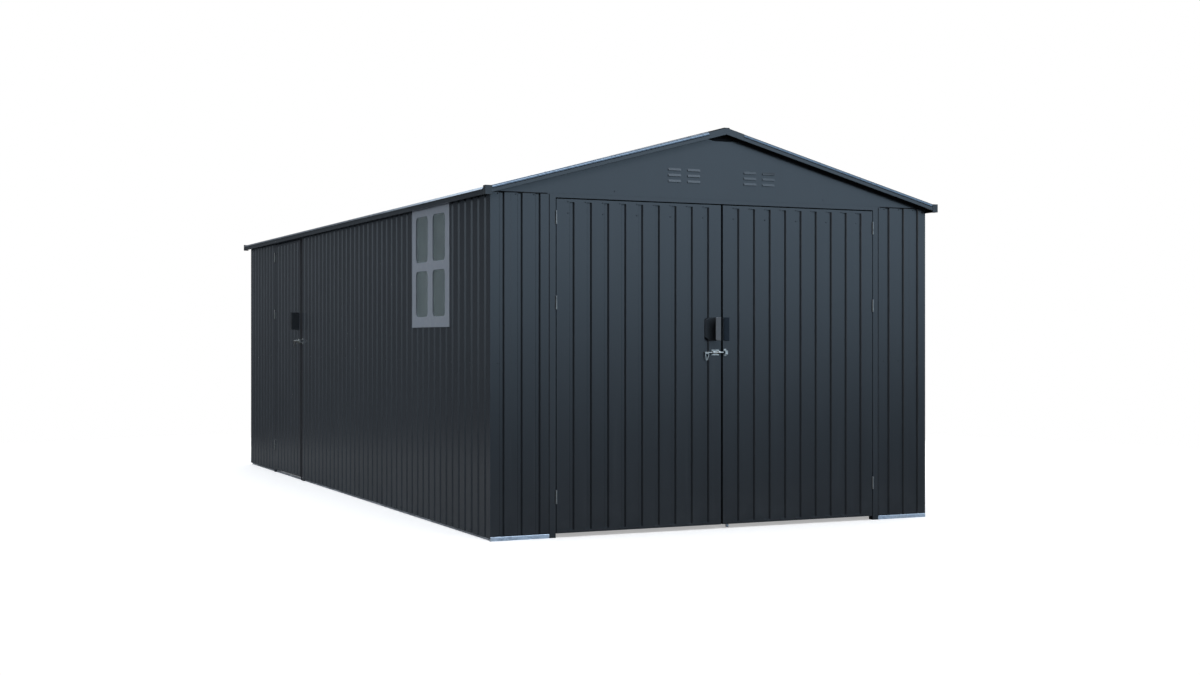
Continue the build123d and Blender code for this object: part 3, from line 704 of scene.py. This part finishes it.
bead = round_section(bead_radius, bead_sides)
roof_front = reach("front_rake_trims", 1, False)
eave_reach = reach("eave_trims", 0, True)
eave_height = apex - eave_reach * tan(pitch) + trim_rise
bead_length = (eave_reach - cap_length - ridge_clear) / cos(pitch)
lip_length = 2 * (roof_front + cap_length)
rolled = bmesh.new()
lips = bmesh.new()
for side in (-1, 1):
    for edge in (roof_front + bead_inset, -roof_front - bead_inset):
        top = Matrix.Translation((edge, ridge_clear / cos(pitch), trim_rise - bead_inset))
        strip(rolled, bead, roof_matrix(side) @ top @ down_a_slope, bead_length)
    corner = (side * eave_reach, roof_front + cap_length, eave_height)
    strip(lips, lip_section, side_matrix(side * across, upright, -back, corner), lip_length)
piece_from("rolled_roof_edges", rolled, "shed", "galvanised_steel", edge_steel)
piece_from("eave_lips", lips, "shed", "galvanised_steel", lip_steel)
print("rolled edges of", round(bead_length, 3), "m, lips of", round(-lip_length, 3), "m")

# %% [markdown]
# ## Laps and painted shadow lines
#
# Beside each front corner two sheets lap, so one edge stands a little proud of the flat. Where the narrow
# front sheets meet the door jambs and the foot of the gable, a thin black strip is painted shadow: it stands
# for the shadow line in the joint. A dark line could be drawn in the paint's nodes, but a thin strip also has
# its own shadow and edge.

# %% Laps and painted shadow lines
lap_places = (-1.36, 1.36)
lap_foot, lap_length = 0.02, 1.945
lap_section = ((-0.0012, -0.0002), (0.0012, -0.0002), (0.0008, 0.0008), (-0.0006, 0.0005))
laps = bmesh.new()
for along in lap_places:
    strip(laps, lap_section, on_side(front_side, along, lap_foot) @ up_a_side, lap_length)
piece_from("sheet_laps", laps, "shed", "sheet_paint", sheet_paint)

painted_shadow_foot, painted_shadow_length = 0.026, 1.94
painted_shadow_inset = 0.01
painted_shadow_section = ((-0.0034, -0.0003), (0.0034, -0.0003), (0.0026, 0.0006), (-0.0026, 0.0006))
jamb_edge = reach("front_door_jambs", 0, True)
gable_foot = reach("front_gable_panel", 2, False) - 0.0035
# painted shadow: thin black strips for the shadow lines at the jamb joints and under the gable's foot
painted_shadow = bmesh.new()
for along in (-jamb_edge, jamb_edge):
    strip(painted_shadow, painted_shadow_section, on_side(front_side, along, painted_shadow_foot) @ up_a_side, painted_shadow_length)
for node in narrow_sheets:
    start, stop = span(node, 0)
    under_gable = on_side(front_side, start + painted_shadow_inset, gable_foot) @ along_a_side
    strip(painted_shadow, painted_shadow_section, under_gable, stop - start - 2 * painted_shadow_inset)
piece_from("sheet_painted_shadow", painted_shadow, "shed", "black_plastic", painted_shade_black)
print("laps at", lap_places, "sealant under the gable at", round(gable_foot, 4))

# %% [markdown]
# ## Foot flanges
#
# The foot rail is bare steel, and under the two narrow front sheets its flange turns out past the wall and
# shows as a pale strip on the ground. It is a bent plate, so its section is an L that hooks over the rail's
# edge, run along each sheet.

# %% Foot flanges
flange_inset = 0.0005
flange_section = (
    (0.0005, -0.0128),
    (0.0005, 0.0016),
    (0.0225, 0.0016),
    (0.024, 0.0004),
    (0.024, 0.0),
    (0.0148, 0.0),
    (0.0148, -0.0128),
)
flanges = bmesh.new()
for node in narrow_sheets:
    start, stop = span(node, 0)
    at_foot = on_side(front_side, start + flange_inset, 0.0) @ along_a_side
    strip(flanges, flange_section, at_foot, stop - start - 2 * flange_inset)
piece_from("foot_flanges", flanges, "shed", "galvanised_steel", galvanised_steel)
print("flanges", round(stop - start, 3), "m long")

# %% [markdown]
# ## Painted shade in the ridge vent
#
# Under the peak of the roof the gable is left open for air, and the hole is in deep shade. A thin black
# plate with the outline of the hole is painted shade for it. Half of the outline is written down, and the
# other half is its mirror.

# %% Painted shade in the ridge vent
vent_top = reach("front_gable_panel", 2, True)
vent_rise, vent_thickness = 0.0008, 0.004
half_vent = (
    (0.0, 0.022),
    (0.03, 0.021),
    (0.062, 0.011),
    (0.09, 0.0),
    (0.086, -0.007),
    (0.05, -0.014),
    (0.0, -0.014),
)
vent_outline = [(x, vent_top + z) for x, z in half_vent]
vent_outline += [(-x, vent_top + z) for x, z in half_vent[-2:0:-1]]
# painted shade: a black plate standing for the shadowed opening under the ridge
vent = bmesh.new()
strip(vent, vent_outline, front_side @ Matrix.Translation((0.0, 0.0, vent_rise)), vent_thickness)
piece_from("ridge_vent", vent, "shed", "black_plastic", painted_shade_black)
print("vent at", round(vent_top, 3))

# %% [markdown]
# ## The sleeve of the drop bolt
#
# The bolt behind the right door drops towards the ground, and a short steel sleeve under its lower guide
# keeps it straight. The sleeve's end shows below the door. It is a tube with a rounded foot, so a closed
# outline is spun round the bolt, which leaves the bore open for the bolt to slide in.

# %% The sleeve of the drop bolt
sleeve_outline = (
    (0.0062, 0.0025),
    (0.0076, 0.0025),
    (0.0088, 0.0042),
    (0.0092, 0.0066),
    (0.0092, 0.0249),
    (0.0062, 0.0249),
)
sleeve_segments = 20
guide_low, guide_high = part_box("drop_bolt_guides")
bolt_place = Vector(((guide_low.x + guide_high.x) / 2, (guide_low.y + guide_high.y) / 2, 0.0))
sleeve = bmesh.new()
rim = [sleeve.verts.new(bolt_place + Vector((radius, 0.0, height))) for radius, height in sleeve_outline]
hoop = [sleeve.edges.new(ends) for ends in zip(rim, rim[1:] + rim[:1])]
full_turn(sleeve, rim, hoop, bolt_place, sleeve_segments)
piece_from("drop_bolt_sleeve", sleeve, "right_door", "galvanised_steel", galvanised_steel)
print("sleeve at", [round(v, 4) for v in bolt_place])

# %% [markdown]
# ## Painted shade beside the side door
#
# On the latch side of the side door the gap is in deep shadow, and black strips are painted shade for it.
# One strip lines the edge of its leaf, a flat one covers the edge of its skin, and a wider one lies on the
# jamb that it meets, so that a dark band runs down beside the door. The first two ride on the door and the
# third stays on the wall: one strip over the gap would tear when the door opens.

# %% Painted shade beside the side door
leaf_low, leaf_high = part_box("side_door_frame")
leaf_height = leaf_high.z - leaf_low.z
edge_inset, edge_clear = 0.0122, 0.001
jamb_lap, jamb_foot, jamb_head_clear = 0.0235, 0.002, 0.04
leaf_section = (
    (0.001, 0.0),
    (0.004, -0.003),
    (0.012, -0.0038),
    (0.024, -0.0038),
    (0.031, -0.003),
    (0.034, 0.0),
)
edge_section = ((-0.0115, -0.0002), (0.0115, -0.0002), (0.0105, 0.0011), (0.0, 0.0014), (-0.0105, 0.0011))
jamb_section = ((-0.0185, -0.0002), (0.0185, -0.0002), (0.016, 0.0013), (0.0, 0.0016), (-0.016, 0.0013))

# black strips of painted shade for the shadowed gap on the latch side
leaf_shade_strip = bmesh.new()
leaf_edge = side_matrix(across, back, upright, (left_face, leaf_low.y, leaf_low.z))
strip(leaf_shade_strip, leaf_section, leaf_edge, leaf_height)
piece_from("side_door_shade_strip", leaf_shade_strip, "side_door", "black_plastic", painted_shade_black)

edge_shade_strip = bmesh.new()
skin_edge = on_side(left_side, -leaf_low.y - edge_inset, leaf_low.z + edge_clear) @ up_a_side
strip(edge_shade_strip, edge_section, skin_edge, leaf_height - 2 * edge_clear)
piece_from("side_door_edge_shade_strip", edge_shade_strip, "side_door", "black_plastic", painted_shade_black)

jamb_shade_strip = bmesh.new()
on_jamb = on_side(left_side, -leaf_low.y + jamb_lap, jamb_foot) @ up_a_side
strip(jamb_shade_strip, jamb_section, on_jamb, reach("side_door_header", 2, True) - jamb_head_clear)
piece_from("side_jamb_shade_strip", jamb_shade_strip, "shed", "black_plastic", painted_shade_black)
print("seals from", round(leaf_low.z, 3), "to", round(leaf_high.z, 3))

# %% [markdown]
# ## The floor
#
# The shed stands on a plain pale floor that fades into white. Light Path tells what kind of ray looks at
# it: the camera, straight or through the window, sees it pale, with a little light of its own so that it
# meets the white behind it, and it still takes the shed's soft shadow. The paint's gloss and the light that
# bounces see it dim, as a dark studio floor, so that it doesn't wash out the foot of the walls.

# %% The floor
floor_radius = 9.0
fade_start, fade_end = 4.2, 8.0


def grey(level):
    return (level, level, level, 1.0)


def shown(field):
    """1 for what the camera sees, straight or through a clear sheet."""
    seen = field.node("ShaderNodeLightPath", {}, {}, "Is Camera Ray")
    through = field.node("ShaderNodeLightPath", {}, {}, "Is Transmission Ray")
    return field.sums("MAXIMUM", seen, through)


def pale_floor():
    material, place, inputs = finish_named("pale floor")
    distance = place.node("ShaderNodeVectorMath", {"operation": "LENGTH"}, {0: place}, "Value")
    seen = shown(place)
    glossy = place.node("ShaderNodeLightPath", {}, {}, "Is Glossy Ray")
    dimmed = glossy.mix((0.06, 0.06, 0.062, 1.0), grey(0.14))
    feed(
        inputs,
        Base_Color=seen.mix(dimmed, grey(0.88)),
        Emission_Color=seen.mix(grey(0.0), grey(0.4)),
        Emission_Strength=1.0,
        Roughness=0.9,
        Specular_IOR_Level=0.0,
        Alpha=1.0 - distance.between(fade_start, fade_end),
    )
    disc = bmesh.new()
    bmesh.ops.create_circle(disc, cap_ends=True, segments=96, radius=floor_radius)
    mesh = bpy.data.meshes.new("floor")
    disc.to_mesh(mesh)
    disc.free()
    mesh.materials.append(material)
    floor = bpy.data.objects.new("floor", mesh)
    bpy.context.scene.collection.objects.link(floor)


pale_floor()
print("floor of", floor_radius, "m")

# %% [markdown]
# ## The sky
#
# Glossy dark paint is mostly what it mirrors, so the sky is built for its gloss: a cool bright backdrop in
# front, a softer one to the left and behind, dark flags between them, and a bright overhead that only
# upward edges find. Low down it all goes dark, so the front is lighter at its head than at its foot. Plain
# lamps would show as hard spots in the paint. The camera and the window's clear sheets see white, and the
# light that bounces sees a plain grey sky.

# %% The sky
flag = (0.03, 0.031, 0.032, 1.0)
front_glow = (1.23, 1.7, 2.18, 1.0)
left_glow = (1.35, 1.4, 1.45, 1.0)
rear_glow = (0.55, 0.62, 0.72, 1.0)
overhead_glow = (3.4, 4.0, 4.7, 1.0)
soft_sky = (0.45, 0.47, 0.5, 1.0)


def studio_world():
    world = bpy.data.worlds.new("studio")
    world.use_nodes = True
    bpy.context.scene.world = world
    ray = Field(world.node_tree).node("ShaderNodeTexCoord", {}, {}, "Generated")
    sideways, depth, height = ray.along("X"), ray.along("Y"), ray.along("Z")
    above = height.between(-0.05, 0.055)

    def toward(direction, low, high):
        """1 where a ray runs towards a direction, above the floor."""
        values = {0: ray, 1: direction}
        facing = ray.node("ShaderNodeVectorMath", {"operation": "DOT_PRODUCT"}, values, "Value")
        return facing.between(low, high) * above

    mirrored = toward((0.8, 0.6, 0.0), 0.35, 0.9).mix(flag, rear_glow)
    mirrored = toward((-0.9, -0.43, 0.0), 0.2, 0.8).mix(mirrored, left_glow)
    mirrored = toward((0.6, -0.8, 0.0), -0.1, 0.5).mix(mirrored, front_glow)
    overhead = height.between(0.3, 0.65) * sideways.between(-0.65, -0.3)
    overhead = overhead * (1.0 - sideways.between(0.32, 0.55))
    behind = height.between(0.29, 0.36) * depth.between(0.75, 0.88) * 0.4
    mirrored = ray.sums("MAXIMUM", overhead, behind).mix(mirrored, overhead_glow)
    glossy = ray.node("ShaderNodeLightPath", {}, {}, "Is Glossy Ray")
    soft = above.mix(grey(0.05), soft_sky)
    colour = shown(ray).mix(glossy.mix(soft, mirrored), grey(1.0))
    background = world.node_tree.nodes["Background"]
    world.node_tree.links.new(colour.socket, background.inputs["Color"])


studio_world()
print("sky ready")

# %% [markdown]
# ## The lights
#
# Five large softboxes give the plain light that shows a colour as it is written: one overhead, one at each
# side, one behind and a weak one in front. They are hidden from gloss, because the sky already gives the
# paint what it mirrors, and a lamp's bright square in the hinges and bolts would look like a window.

# %% The lights
def softbox(name, place, aim, width, height, power, tint=(1.0, 1.0, 1.0)):
    lamp = bpy.data.lights.new(name, "AREA")
    lamp.shape = "RECTANGLE"
    lamp.size = width
    lamp.size_y = height
    lamp.energy = power
    lamp.color = tint
    holder = bpy.data.objects.new(name, lamp)
    holder.location = place
    holder.visible_glossy = False
    holder.rotation_euler = (Vector(aim) - Vector(place)).to_track_quat("-Z", "Y").to_euler()
    bpy.context.scene.collection.objects.link(holder)


cool = (0.96, 1.02, 1.08)
softbox("top softbox", (-1.0, -1.0, 9.0), (0.0, 0.0, 0.0), 7.0, 9.0, 350.0)
softbox("left softbox", (-9.5, 0.5, 1.3), (-1.5, 0.0, 1.0), 9.0, 2.6, 560.0, cool)
softbox("right softbox", (9.5, 0.5, 1.6), (1.5, 0.0, 1.0), 9.0, 2.6, 520.0)
softbox("back softbox", (0.5, 11.0, 2.0), (0.0, 3.0, 1.0), 6.0, 2.6, 420.0)
softbox("front softbox", (0.0, -8.0, 5.0), (0.0, -3.0, 2.2), 5.0, 2.0, 160.0)
print("five softboxes lit")

# %% [markdown]
# ## The camera
#
# The camera stands where the picture was taken, low and to the left of the doors. It is level, so that the
# posts stay upright in the picture, and a small lens shift does the rest of the framing. The place and lens
# were worked out from the shed's own corners.

# %% The camera
camera_data = bpy.data.cameras.new("camera")
camera_data.sensor_width = 36.0
camera_data.lens = 47.55
camera_data.shift_y = 0.00153
camera = bpy.data.objects.new("camera", camera_data)
camera.location = (-4.658, -11.378, 1.1355)
camera.rotation_euler = (radians(90.0), 0.0, radians(-24.82))
bpy.context.scene.collection.objects.link(camera)
bpy.context.scene.camera = camera
bpy.context.scene.view_settings.view_transform = "Standard"
print("camera at", tuple(round(v, 3) for v in camera.location))
